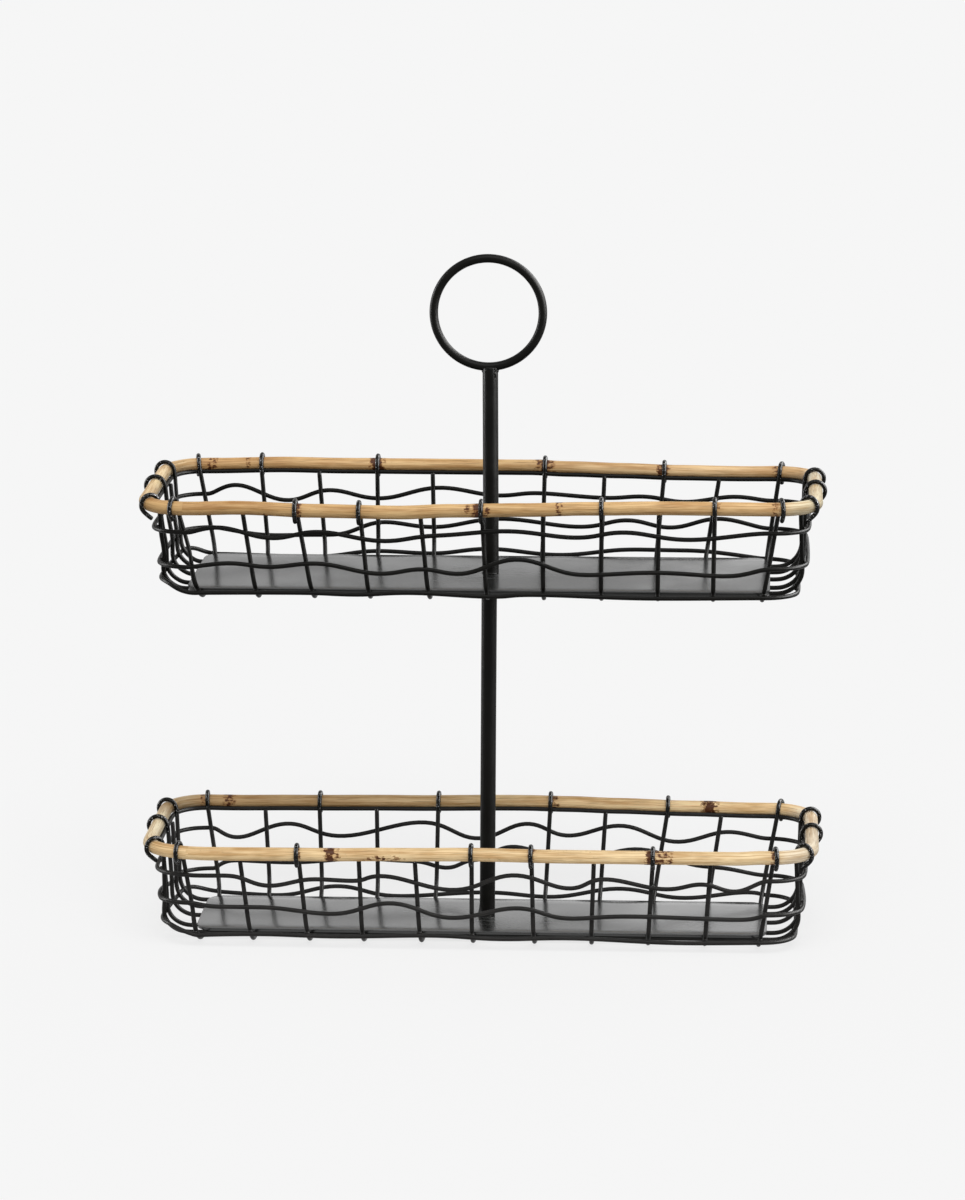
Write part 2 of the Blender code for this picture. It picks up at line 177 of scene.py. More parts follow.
# Painted shade on the back's left and painted light on its right, strongest in the lower tray
BACK_LEFT_SHADE, BACK_RIGHT_LIGHT = (-120 * MM, 30 * MM), (-10 * MM, 60 * MM)
BACK_START = (0.0, 40 * MM)


@dataclass
class Knot:
    """A knot or burn: its place along X, darkness, reach and swelling, and turn and spread round."""
    place: float
    darkness: float
    reach: float
    swell: float = 0.0
    turn: float = 0.0
    spread: float = math.inf


# Knots of the canes' sides, in millimetres and degrees
UNDERSIDE = -75
KNOTS = {
    ("upper", FRONT): (
        Knot(2.5, 0.98, 3.4, 0.28), Knot(-4.5, 0.62, 2.2, 0.0, 30, 45),
        Knot(8.5, 0.92, 1.8, 0.0, -10, 40), Knot(-115, 0.80, 2.5, 0.10),
        Knot(-136, 0.90, 9, 0.0, UNDERSIDE, 30), Knot(55, 0.50, 2.5),
        Knot(157, 0.55, 3, 0.0, 60, 60), Knot(199, 0.50, 2)),
    ("upper", BACK): (
        Knot(-190.7, 0.60, 1.6, 0.12), Knot(-186.6, 0.58, 1.6, 0.08), Knot(-164, 0.60, 1.5),
        Knot(-76, 1.0, 4.5, 0.15), Knot(38, 0.95, 6, 0.25), Knot(119, 0.85, 4),
        Knot(199, 0.48, 2.5, 0.10)),
    ("lower", FRONT): (
        Knot(-97, 0.88, 5, 0.10), Knot(-62, 0.50, 13, 0.0, -35, 45), Knot(115, 1.0, 3.5, 0.28),
        Knot(123, 0.62, 6), Knot(-119, 0.45, 2.5), Knot(37, 0.45, 3), Knot(202, 0.65, 2)),
    ("lower", BACK): (
        Knot(152, 0.95, 5, 0.22), Knot(-180, 0.75, 4, 0.15), Knot(-212, 0.60, 2),
        Knot(45, 0.60, 3)),
}

# Unevenness of the trays, bent by hand: how far the rim rises at places along X, in millimetres
RIM_BOWS = {
    ("upper", FRONT): ((-186, -1.0), (-155, -0.3), (-105, -1.9), (-50, -2.6), (-15, -1.2),
                       (30, -0.3), (75, 0.9), (120, 1.6), (209, 1.3)),
    ("upper", BACK): ((-194, 0.5), (-136, 1.7), (-100, 1.2), (28, 1.0), (55, 0.0),
                      (90, -0.9), (130, -2.0), (170, -2.4), (208, -2.1)),
    ("lower", FRONT): ((-207, 0.0), (-180, -1.0), (-105, -0.7), (-52, 0.0), (0, 0.6),
                       (54, 0.0), (170, 0.0), (190, 0.9), (213, 0.8)),
    ("lower", BACK): ((-209, -0.6), (-180, -0.9), (-130, -0.3), (-60, 0.3), (26, 1.4),
                      (54, 0.9), (90, 0.0), (137, -1.2), (186, -2.1)),
}
# Between which shares of a tray's height the rim's bow, the pinch and the spread come and go
BOW_SHARES = (0.35, 0.85)
PINCH_SHARES = (0.1, 0.5)
SPREAD_SHARES = (0.0, 0.35)
# The left end is pinched at the rim, and spread at the foot of its front
END_PINCH = {"upper": 3.0 * MM, "lower": 0.3 * MM}
FOOT_SPREAD = 1.9 * MM
PINCH_START = {FRONT: -171 * MM, BACK: -198 * MM}
PINCH_RUN = 24 * MM
# The upper tray's long wires and rings are drawn in at the foot of the left end
FOOT_TUCK = {"upper": 3.0 * MM, "lower": 0.0}
FOOT_TUCK_RUN = (190 * MM, 204 * MM)
FOOT_TUCK_SHARES = (0.2, 0.65)

# Welds
TOUCH_REACH = 1.3 * MM
WELD_SPACING = 6 * MM
WELD_SEGMENTS = 8
WELD_RINGS = 5
WELD_THICKNESS_SHARE = 0.55
WELD_UNEVENNESS = 0.2
WELD_NOISE_SCALE = 300
NEAREST_STEPS = 4

# Plates: a lip turned down along the edge, deep enough for each tray to stand in also for the shade
# under the plate's front edge, and a clear coat on the lower one
LIP_AND_SHADE_DEPTHS = {"upper": 2.1 * MM, "lower": 1.0 * MM}
LIP_WIDTH = 1.2 * MM
SHEET_COATS = {"upper": 0.0, "lower": 0.55}

# Upright and carrying ring
POLE_SIDES = 48
POLE_RADIUS = 5.2 * MM
POLE_STEP = 12 * MM
FOOT_RINGS = 6
# Height of each foot weld, its share of the foot flare, and how far the bar leans to the left
POLE_FEET = {"lower": (11 * MM, 1.0, 2.2 * MM), "upper": (2 * MM, 0.5, 0.0)}
POLE_TOP_BEVEL = 1.2 * MM
RING_BAR_FACETS = 10
# Lumps round the seam of ring and upright, each with its place and half sizes in millimetres
RING_WELD_LUMPS = (
    ((-4.9, 0.0, -2.6), (1.0, 2.3, 1.3)),
    ((4.8, 0.0, -2.4), (1.1, 2.5, 1.6)),
    ((3.3, -3.7, -1.2), (1.3, 1.0, 1.6)),
    ((3.4, -3.8, -4.4), (1.2, 1.0, 2.4)),
    ((-2.0, -4.2, -1.9), (1.8, 0.9, 1.1)),
    ((0.4, 4.2, -1.9), (2.6, 0.9, 1.2)),
)


@dataclass
class Coat:
    """A powder coat: its names, roughness, gloss, height of grain, dents, and share of bright flecks,
    which are painted glints.
    """
    material: str
    colour: str = "paint"
    roughness: float = 0.40
    gloss: float = 0.08
    grain_height: float = 0.010 * MM
    dent_scale: float = 150.0
    dent_height: float = 0.10 * MM
    flecks_and_glints: float = 0.0


COATS = {
    "upper": Coat("satin_black_coat"),
    # The lower tray's wires and welds take a paler copy of the same black paint: painted light for the
    # sheen they catch
    "lower": Coat("worn_black_coat", "worn_paint"),
    # The hooks' coat carries bright flecks in its colour: painted glints that stand in for highlights on
    # its lumps
    "hook": Coat("dented_black_coat", roughness=0.22, gloss=0.12, grain_height=0.02 * MM,
                 dent_scale=380.0, dent_height=0.30 * MM, flecks_and_glints=0.8),
}
GRAIN_SCALE = 1300.0
# Size and colour of the painted glints on the hooks
PAINTED_GLINT_SCALE = 1100.0
PAINTED_GLINT_COLOUR = (0.62, 0.62, 0.64, 1)

# Studio: the floor lights the basket from near it and less from afar
FLOOR_SIZE = 60
FLOOR_GAP = 0.1 * MM
FLOOR_BOUNCE = (0.85, 0.10)
BOUNCE_REACH = (140 * MM, 420 * MM)
BOUNCE_SHAPE = (0.6, 1.0, 0.0)
SEEN_RAYS = ("Is Camera Ray", "Is Glossy Ray", "Is Transmission Ray")
FLOOR_GLOW = 0.82
SUN_FROM = (0.10, -0.55, 0.80)
SUN_SPREAD = math.radians(50)
PANELS_AIM = (0, 0, 0.25)


@dataclass
class LightPanel:
    """A light that shows only in gloss: its place, size, share of the side lamp, and what it lights."""
    name: str
    place: tuple
    size: tuple
    share: float
    wires_only: bool = True


PANELS = (
    LightPanel("right_panel", (1.5, -0.3, 0.9), (1.4, 1.4), 1.0),
    LightPanel("left_panel", (-1.5, 0.2, 0.5), (0.5, 1.2), 0.25),
    LightPanel("rim_panel", (1.20, 0.85, 1.30), (1.2, 1.2), 0.50),
    LightPanel("back_panel", (0.55, 2.2, 0.62), (0.9, 0.7), 0.004, wires_only=False),
)
# Camera: its turn about the upright, its shift sideways and up from there, and its own tilt
CAMERA_AIM = (6 * MM, 0, 1.8 * MM)
CAMERA_TURN = 0.0628
CAMERA_SHIFT = -5.8 * MM
CAMERA_HEIGHT = 873.2 * MM
CAMERA_PITCH = 0.213
CAMERA_ROLL = -0.0041
CAMERA_SENSOR = 36
CAMERA_CLIP = (0.05, 100)


def number_setting(name, description, default, least, most=1.0, unit="LENGTH"):
    """Return a setting that holds a length or another number."""
    return FloatProperty(name=name, description=description, default=default, min=least,
                         max=most, unit=unit, precision=4)


def colour_setting(name, description, *default):
    """Return a setting that holds a colour, in linear values."""
    return FloatVectorProperty(name=name, description=description, default=default,
                               subtype="COLOR", min=0, max=1)


class BasketSizes(bpy.types.PropertyGroup):
    """Sizes of the finish that a user would change."""
    wire_radius: number_setting(
        "Wire radius", "Half the thickness of the round wire", 1.5 * MM, 0.5 * MM)
    cane_radius: number_setting(
        "Cane radius", "Half the thickness of the cane between its knots", 4.5 * MM, 2 * MM)
    weld_radius: number_setting(
        "Weld radius", "Half the width of the small weld where two wires cross", 1.75 * MM, 0.5 * MM)
    plate_edge: number_setting(
        "Plate edge", "Width of the rounding along a plate's edges", 0.3 * MM, 0.05 * MM)
    foot_flare: number_setting(
        "Foot flare", "How far the lower foot weld stands out from its bar", 2.2 * MM, 0.2 * MM)


class BasketColours(bpy.types.PropertyGroup):
    """Colours of the finishes, in linear values."""
    paint: colour_setting(
        "Paint", "Black powder coat on the upper wires and the bars", 0.0034, 0.0032, 0.0025)
    # Paler copy of the black paint, painted lighter for the light that the lower tray's wires catch
    worn_paint: colour_setting(
        "Worn paint", "Paler powder coat on the lower tray's wires", 0.0165, 0.0158, 0.0150)
    sheet_paint: colour_setting(
        "Sheet paint", "Black powder coat on the bottom plates", 0.014, 0.0145, 0.0138)
    cane_pale: colour_setting("Pale cane", "Lightest fibres of the cane", 0.80, 0.618, 0.385)
    cane_honey: colour_setting("Honey cane", "Darkest fibres of the clean cane", 0.475, 0.289, 0.131)
    cane_stain: colour_setting("Knot stain", "Brown stain round a knot of the cane", 0.115, 0.032, 0.006)
    paper: colour_setting("Paper", "Pale floor and background", 0.92, 0.92, 0.92)


class BasketStudio(bpy.types.PropertyGroup):
    """Lights and camera of the plain studio."""
    sky: number_setting("Sky", "Strength of the even light from all round", 0.45, 0, 1, "NONE")
    sun: number_setting("Sun", "Strength of the large soft key light", 2.14, 0, 5, "NONE")
    side_lamp: number_setting(
        "Side lamp", "Power of the panel on the right, in watts", 150.0, 0, 500, "NONE")
    lens: number_setting("Lens", "Camera lens on its 36 mm sensor", 137.72, 10, 300, "CAMERA")
    distance: number_setting(
        "Distance", "How far the camera stands in front of the upright", 3.0, 0.5, 10)


def select_only(piece):
    """Make one object the only selected one and the active one."""
    bpy.ops.object.select_all(action="DESELECT")
    piece.select_set(True)
    bpy.context.view_layer.objects.active = piece


def edit(mode="EDGE", select="DESELECT"):
    """Enter edit mode with nothing selected, or with everything."""
    bpy.ops.object.mode_set(mode="EDIT")
    bpy.ops.mesh.select_mode(type=mode)
    bpy.ops.mesh.select_all(action=select)


def leave():
    """Leave edit mode."""
    bpy.ops.object.mode_set(mode="OBJECT")


def apply_modifier(piece, kind, **settings):
    """Add a modifier with its settings and apply it."""
    modifier = piece.modifiers.new(kind.title(), kind)
    for key, value in settings.items():
        setattr(modifier, key, value)
    bpy.ops.object.modifier_apply(modifier=modifier.name)


def merged_copy(node, name):
    """Return a copy of a frame node, with its loose triangles merged into quads."""
    piece = frame["nodes"][node].copy()
    piece.data = piece.data.copy()
    piece.name = piece.data.name = name
    piece.parent = None
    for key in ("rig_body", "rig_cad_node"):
        del piece[key]
    bpy.context.scene.collection.objects.link(piece)
    select_only(piece)
    bpy.ops.mesh.customdata_custom_splitnormals_clear()
    edit(select="SELECT")
    bpy.ops.mesh.remove_doubles(threshold=MERGE_DISTANCE)
    bpy.ops.mesh.tris_convert_to_quads(face_threshold=QUAD_ANGLE, shape_threshold=math.pi)
    leave()
    return piece


def select_where(piece, parts, wanted):
    """Select the edges or faces that are wanted, in edit mode, and return whether any is."""
    mesh = bmesh.from_edit_mesh(piece.data)
    choices = [wanted(part) for part in getattr(mesh, parts)]
    for part, choice in zip(getattr(mesh, parts), choices):
        part.select_set(choice)
    bmesh.update_edit_mesh(piece.data)
    return any(choices)


def split_long_edges(piece, longest):
    """Halve the edges that are longer than a length until none is."""
    found = True
    while found:
        edit()
        found = select_where(piece, "edges", lambda edge: edge.calc_length() > longest)
        if found:
            bpy.ops.mesh.subdivide(number_cuts=1)
        leave()


def smooth_tube(piece, radius, facets):
    """Smooth a faceted tube, fattened first so that it keeps its radius."""
    shrink = (2 + math.cos(2 * math.pi / facets)) / 3
    edit(select="SELECT")
    bpy.ops.transform.shrink_fatten(value=radius * (1 / shrink - 1))
    leave()
    apply_modifier(piece, "SUBSURF", levels=ROUND_LEVELS, render_levels=ROUND_LEVELS)


def finish_piece(piece, slot, materials, *nodes):
    """Give a piece its materials, let it ride, and let it stand for its nodes. The slot is not used."""
    piece.data.materials.clear()
    for material in materials:
        piece.data.materials.append(material)
    select_only(piece)
    bpy.ops.object.shade_smooth()
    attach(piece, BODY)
    if nodes:
        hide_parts(*nodes)


class Hoop:
    """The line of a tray's cane: straight sides and round corners, at one height."""

    def __init__(self, tray):
        self.tray = tray
        self.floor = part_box(f"{tray}_base_plate")[1].z
        low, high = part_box(f"{tray}_cane_rim")
        inset = (high.z - low.z) / 2 / math.cos(math.pi / CANE_FACETS)
        self.half_length = (high.x - low.x) / 2 - inset
        self.half_width = (high.y - low.y) / 2 - inset
        self.height = (high.z + low.z) / 2
        self.straight_x = self.half_length - CORNER_RADIUS
        self.straight_y = self.half_width - CORNER_RADIUS

    def station(self, point):
        """Return the place along the hoop, the nearest point on it and the way out there."""
        x = max(-self.straight_x, min(self.straight_x, point.x))
        y = max(-self.straight_y, min(self.straight_y, point.y))
        out = Vector((point.x - x, point.y - y, 0))
        beside = abs(point.y) - self.half_width >= abs(point.x) - self.half_length
        if beside and abs(point.x) < self.straight_x:
            out.x = 0
        out.normalize()
        turn = (math.atan2(out.y, out.x) + math.pi / 2) % (2 * math.pi)
        quarter, part = divmod(turn, math.pi / 2)
        if part > math.pi / 2 - ANGLE_SLACK:
            quarter, part = quarter + 1, 0
        quarter = int(quarter) % 4
        sides = (2 * self.straight_x, 2 * self.straight_y) * 2
        along = sum(sides[:quarter]) + sides[quarter] / 2 + (x, y, -x, -y)[quarter]
        along += (quarter * math.pi / 2 + part) * CORNER_RADIUS
        return along, Vector((x, y, self.height)) + out * CORNER_RADIUS, out

    def side_place(self, side, x):
        """Return the place along the hoop of a point on its front or back side."""
        return self.station(Vector((x, side * self.half_width * 2, 0)))[0]

    def share_up(self, point):
        """Return how far up a point lies, from the tray's floor to its cane."""
        return (point.z - self.floor) / (self.height - self.floor)

    def length(self):
        """Return the length all round."""
        return 4 * (self.straight_x + self.straight_y) + 2 * math.pi * CORNER_RADIUS


def eased(value, low, high):
    """Return how far a value lies between two limits, eased at both ends."""
    share = max(0.0, min(1.0, (value - low) / (high - low)))
    return share * share * (3 - 2 * share)


def bow_at(bow, x):
    """Return the rise of a rim at a place along X, eased between the places of its bow."""
    places = [(place * MM, rise * MM) for place, rise in bow]
    if x <= places[0][0]:
        return places[0][1]
    for (low, first), (high, last) in zip(places, places[1:]):
        if x < high:
            return first + (last - first) * eased(x, low, high)
    return places[-1][1]


def bend_by_hand(piece, hoop):
    """Bow the rim and pinch the left end of a tray's piece, less towards the tray's floor."""
    for vertex in piece.data.vertices:
        point = vertex.co
        share = hoop.share_up(point)
        back = max(0.0, min(1.0, (point.y / hoop.half_width + 1) / 2))
        rise = bow_at(RIM_BOWS[hoop.tray, FRONT], point.x) * (1 - back)
        rise += bow_at(RIM_BOWS[hoop.tray, BACK], point.x) * back
        start = PINCH_START[FRONT] * (1 - back) + PINCH_START[BACK] * back
        pinch = eased(-point.x, -start, -start + PINCH_RUN)
        raised = END_PINCH[hoop.tray] * eased(share, *PINCH_SHARES)
        spread = FOOT_SPREAD * (1 - back) * (1 - eased(share, *SPREAD_SHARES))
        point.z += rise * eased(share, *BOW_SHARES)
        point.x += pinch * (raised - spread)


def tuck_left_foot(piece, hoop):
    """Draw in the left end's wires low down, where the photographed end slopes in to its foot."""
    for vertex in piece.data.vertices:
        low = 1 - eased(hoop.share_up(vertex.co), *FOOT_TUCK_SHARES)
        vertex.co.x += FOOT_TUCK[hoop.tray] * (eased(-vertex.co.x, *FOOT_TUCK_RUN) * low)


def set_wire(piece, node, hoop):
    """Move a rim wire, a lowest ring or a front long wire to where the photo shows it."""
    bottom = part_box(node)[0].z
    for vertex in piece.data.vertices:
        out = hoop.station(vertex.co)[2]
        if node.endswith("rim_wire"):
            vertex.co += UP * RIM_WIRE_RISE - out * RIM_WIRE_SHIFT
        elif node.endswith("ring_bottom"):
            climb = eased(-vertex.co.x, *LOW_RING_CLIMB_RUN)
            vertex.co += UP * (LOW_RING_CLIMB * climb - LOW_RING_DROPS[hoop.tray])
            vertex.co += out * (LOW_RING_CLIMB_OUT * climb)
        elif node.endswith(FRONT_WIRE):
            share = max(0.0, 1 - (vertex.co.z - bottom) / FRONT_WIRE_FADE)
            vertex.co -= UP * FRONT_WIRE_DROP * share


def tube_centres(piece):
    """Return the middles of a closed tube's rings of vertices, in order round it."""
    mesh = bmesh.new()
    mesh.from_mesh(piece.data)
    number, groups = {}, []
    for start in mesh.verts:
        if start in number:
            continue
        group = [start]
        for vertex in group:
            number[vertex] = len(groups)
            for edge in vertex.link_edges:
                other = edge.other_vert(vertex)
                if other not in group and edge.calc_length() < GIRTH_EDGE:
                    group.append(other)
        groups.append(group)
    centres = [sum((vertex.co for vertex in group), Vector()) / len(group) for group in groups]
    ways = [{number[edge.other_vert(vertex)] for vertex in group for edge in vertex.link_edges}
            for group in groups]
    mesh.free()
    order = [0]
    while len(order) < len(groups):
        order.append(next(way for way in ways[order[-1]] if way not in order))
    return [centres[index] for index in order]


def held_through_smoothing(wanted, hoop):
    """Return the points whose smooth curve keeps the wanted waves, and their reach at the ends."""
    points = [point.copy() for point in wanted]
    for _ in range(HOLD_STEPS):
        before, after = points[-1:] + points[:-1], points[1:] + points[:1]
        limits = [(last + 4 * point + following) / 6
                  for last, point, following in zip(before, points, after)]
        for point, target, limit in zip(points, wanted, limits):
            step = target - limit
            step.y = 0
            if abs(target.x) > hoop.straight_x:
                step.x = 0
            point += step
    return points


def closed_wire(name, points, radius):
    """Return a round wire on a closed smooth curve through its points."""
    curve = bpy.data.curves.new(name, "CURVE")
    curve.dimensions = "3D"
    curve.bevel_depth = radius
    curve.bevel_resolution = WIRE_ROUNDNESS
    spline = curve.splines.new("NURBS")
    spline.points.add(len(points) - 1)
    for control, point in zip(spline.points, points):
        control.co = (*point, 1)
    spline.use_cyclic_u = True
    spline.order_u = WIRE_CURVE_ORDER
    spline.resolution_u = WIRE_CURVE_STEPS
    piece = bpy.data.objects.new(name, curve)
    bpy.context.scene.collection.objects.link(piece)
    select_only(piece)
    bpy.ops.object.convert(target="MESH")
    return piece


class Finish:
    """The node tree of a material or world, with a short way to add linked nodes."""

    def __init__(self, owner, output="OutputMaterial"):
        self.owner = owner
        owner.use_nodes = True
        self.tree = owner.node_tree
        self.tree.nodes.clear()
        self.output = self.add(output)

    def add(self, kind, inputs=None, **settings):
        """Add a node, set its settings, and set or link its inputs."""
        node = self.tree.nodes.new("ShaderNode" + kind)
        for key, value in settings.items():
            setattr(node, key, value)
        for key, value in (inputs or {}).items():
            if isinstance(value, bpy.types.NodeSocket):
                self.tree.links.new(value, node.inputs[key])
            else:
                node.inputs[key].default_value = value
        return node

    def surface(self, socket):
        """Link a shader to the output and return the material or world."""
        self.tree.links.new(socket, self.output.inputs["Surface"])
        return self.owner

    def coated(self, tone, rough, gloss, normal, coat=(0.0, 0.03)):
        """Return the material, with the weight and roughness of its clear coat in one pair."""
        shader = self.add("BsdfPrincipled", {
            "Base Color": tone, "Roughness": rough, "Specular IOR Level": gloss,
            "Normal": normal, "Coat Weight": coat[0], "Coat Roughness": coat[1]})
        return self.surface(shader.outputs[0])

    def noise(self, vector, scale, detail=2.0, roughness=0.5):
        """Return the value of a noise texture."""
        return self.add("TexNoise", {"Vector": vector, "Scale": scale, "Detail": detail,
                                     "Roughness": roughness}).outputs["Fac"]

    def ramp(self, value, low, high, start=0.0, end=1.0):
        """Return a value mapped smoothly from one range to another."""
        node = self.add("MapRange", {"Value": value, "From Min": low, "From Max": high,
                                     "To Min": start, "To Max": end},
                        interpolation_type="SMOOTHSTEP")
        return node.outputs["Result"]

    def fall(self, value, low, high):
        """Return a value mapped smoothly from a range to one down to nothing."""
        return self.ramp(value, low, high, 1.0, 0.0)

    def maths(self, operation, first, second):
        """Return the outcome of an operation on two values."""
        return self.add("Math", {0: first, 1: second}, operation=operation).outputs[0]

    plus = partialmethod(maths, "ADD")
    minus = partialmethod(maths, "SUBTRACT")
    times = partialmethod(maths, "MULTIPLY")
    larger = partialmethod(maths, "MAXIMUM")

    def mix(self, share, first, second, blend="MIX"):
        """Return a mix of two colours."""
        node = self.add("Mix", {"Factor": share, 6: first, 7: second},
                        data_type="RGBA", blend_type=blend)
        return node.outputs[2]

    def stretched(self, vector, scale, turn=0.0):
        """Return places turned about Z and scaled along each axis."""
        return self.add("Mapping", {"Vector": vector, "Rotation": (0, 0, turn),
                                    "Scale": scale}).outputs["Vector"]

    def reach(self, vector):
        """Return how far places lie from the middle."""
        return self.add("VectorMath", {0: vector}, operation="LENGTH").outputs["Value"]

    def bump(self, height, distance, coarser=None):
        """Return the relief of a height, on top of a coarser relief if there is one."""
        below = {"Normal": coarser} if coarser else {}
        return self.add("Bump", {"Height": height, "Distance": distance, "Strength": 1.0,
                                 **below}).outputs["Normal"]


def tinted(colour, *tint):
    """Return a colour times one share, or times a share for each channel."""
    shares = tint if len(tint) == 3 else tint * 3
    return (*[channel * share for channel, share in zip(colour, shares)], 1)


def wire_coat(kind="upper"):
    """Return the powder coat of a tray's wires, or of the hooks and welds, made once."""
    coat = COATS[kind]
    return bpy.data.materials.get(coat.material) or paint_finish(coat)


def paint_finish(coat):
    """Return a powder coat: fine grain, slow dents, an uneven sheen, and bright flecks painted in as
    glints.
    """
    colour = getattr(bpy.context.scene.basket_colours, coat.colour)
    finish = Finish(bpy.data.materials.new(coat.material))
    place = finish.add("TexCoord").outputs["Object"]
    grain = finish.noise(place, GRAIN_SCALE, 3.0, 0.6)
    dents = finish.noise(place, coat.dent_scale, 2.0)
    patches = finish.noise(place, coat.dent_scale / 4, 3.0, 0.6)
    dust = finish.ramp(finish.noise(place, GRAIN_SCALE * 1.4, 1.0), 0.70, 0.76, 0.0, 0.5)
    tone = finish.mix(finish.ramp(patches, 0.35, 0.7), tinted(colour, 0.85), tinted(colour, 1.35))
    tone = finish.mix(dust, tone, tinted(colour, 5))
    # Painted glints: pale flecks mixed into the colour stand in for highlights on the hooks' lumpy paint
    if coat.flecks_and_glints:
        flecks_and_glints = finish.ramp(finish.noise(place, PAINTED_GLINT_SCALE, 1.0), 0.65, 0.73, 0.0, coat.flecks_and_glints)
        tone = finish.mix(flecks_and_glints, tone, PAINTED_GLINT_COLOUR)
    rough = finish.ramp(patches, 0.3, 0.75, coat.roughness - 0.06, coat.roughness + 0.08)
    relief = finish.bump(grain, coat.grain_height, finish.bump(dents, coat.dent_height))
    return finish.coated(tone, rough, coat.gloss, relief)


def sheet_finish(tray, colour):
    """Return the powder coat of a plate, with scratches, rubbed patches and specks."""
    coat = SHEET_COATS[tray]
    finish = Finish(bpy.data.materials.new(f"{tray}_sheet_coat"))
    place = finish.add("TexCoord").outputs["Object"]
    grain = finish.noise(place, 1500.0, 3.0, 0.6)
    patches = finish.noise(place, 22.0, 4.0, 0.6)
    lines = finish.stretched(place, (26.0, 420.0, 20.0), 0.35)
    scratch = finish.ramp(finish.noise(lines, 1.0, 2.0), 0.60, 0.68)
    foot = finish.reach(finish.stretched(place, (14.0, 24.0, 0.0)))
    rubbed = finish.ramp(finish.noise(place, 9.0, 1.0), 0.55, 0.68, 0.0, 0.4)
    rubbed = finish.larger(rubbed, finish.fall(foot, 0.3, 1.0))
    scratch = finish.times(scratch, rubbed)
    speck = finish.ramp(finish.noise(place, 160.0, 0.0), 0.84, 0.87)
    tone = finish.mix(finish.ramp(patches, 0.3, 0.7), tinted(colour, 0.9), tinted(colour, 1.15))
    tone = finish.mix(finish.times(scratch, 0.6), tone, tinted(colour, 7))
    tone = finish.mix(speck, tone, (0.003, 0.003, 0.003, 1))
    rough = finish.plus(finish.ramp(patches, 0.3, 0.7, 0.18, 0.26), finish.times(scratch, 0.15))
    relief = finish.bump(scratch, -0.01 * MM, finish.bump(grain, 0.006 * MM))
    return finish.coated(tone, rough, 0.36 + coat / 5, relief, (coat, 0.16))


def cane_finish(tray, colours):
    """Return the skin of the cane: fibres, painted light, shade and sheen along it, knots and a low
    gloss.
    """
    tints = CANE_TINTS[tray]
    pale = tinted(colours.cane_pale, *tints.shade)
    honey = tinted(colours.cane_honey, *tints.shade)
    finish = Finish(bpy.data.materials.new(f"{tray}_cane_skin"))
    skin = finish.add("UVMap", uv_map="skin").outputs["UV"]
    place = finish.add("TexCoord").outputs["Object"]

    def along(length, across, detail=3.0):
        """Return noise in streaks of a length and width, along the cane."""
        return finish.noise(finish.stretched(skin, (1 / length, 1 / across, 1.0)), 1.0, detail, 0.6)

    fibres = along(26 * MM, 0.75 * MM)
    strands = along(90 * MM, 2.2 * MM)
    slow = along(50 * MM, 14 * MM)
    share = finish.ramp(finish.plus(fibres, finish.plus(strands, slow)), 1.2, 1.75)
    tone = finish.mix(share, honey, pale)
    dark_fibres = finish.ramp(along(22 * MM, 0.6 * MM, 1.0), 0.56, 0.70, 0.0, 0.6)
    tone = finish.mix(dark_fibres, tone, tinted(honey, 0.5))

    # Painted light and shade by place: sides darker to the left and paler to the right, bends whitened
    # as a painted sheen, the back darker on the left and paler on the right
    side, depth = finish.add("SeparateXYZ", {0: place}).outputs[:2]
    back = finish.ramp(depth, *BACK_START)
    # Masks of the painted sheen on the bends
    left_bend_sheen = finish.times(finish.fall(side, *LEFT_BEND_SHEEN), finish.ramp(depth, *LEFT_BEND_FRONT))
    right_bend_sheen = finish.times(finish.ramp(side, *RIGHT_BEND_SHEEN), finish.fall(depth, *RIGHT_BEND_BACK))
    shares = (finish.minus(finish.fall(side, *LEFT_PAINTED_SHADE), left_bend_sheen),
              finish.minus(finish.ramp(side, *RIGHT_PAINTED_LIGHT), right_bend_sheen), left_bend_sheen, right_bend_sheen,
              finish.times(finish.fall(side, *BACK_LEFT_SHADE), back),
              finish.times(finish.ramp(side, *BACK_RIGHT_LIGHT), back))
    for share, tint in zip(shares, tints.side_light_and_shade + tints.bend_sheens + tints.back_light_and_shade):
        tone = finish.mix(share, tone, (*tint, 1), "MULTIPLY")

    flecks_and_glints = finish.ramp(along(3 * MM, 0.7 * MM, 1.0), 0.68, 0.74)
    patchy = finish.ramp(finish.noise(place, 26.0), 0.5, 0.62)
    flecks_and_glints = finish.times(finish.times(flecks_and_glints, patchy), 0.6)
    tone = finish.mix(flecks_and_glints, tone, tinted(honey, 0.3))

    knot = finish.add("Attribute", attribute_name="knot").outputs["Fac"]
    ragged = finish.plus(along(5 * MM, 1.2 * MM), finish.noise(place, 420.0, 3.0))
    ragged = finish.times(finish.minus(ragged, 1.0), 2.3)
    stain = finish.plus(knot, finish.times(ragged, finish.ramp(knot, 0.0, 0.3)))
    brown = [dry * 0.45 + dark * 0.9 for dry, dark in zip(honey, colours.cane_stain)]
    tone = finish.mix(finish.ramp(stain, 0.30, 0.42, 0.0, 0.85), tone, (*brown, 1))
    burnt = finish.ramp(stain, 0.56, 0.66)
    tone = finish.mix(burnt, tone, tinted(colours.cane_stain, 0.7))

    rough = finish.ramp(slow, 0.3, 0.7, 0.46, 0.56)
    relief = finish.bump(finish.minus(finish.times(fibres, 0.5), burnt), 0.12 * MM)
    return finish.coated(tone, rough, 0.22, relief, (0.05, 0.40))


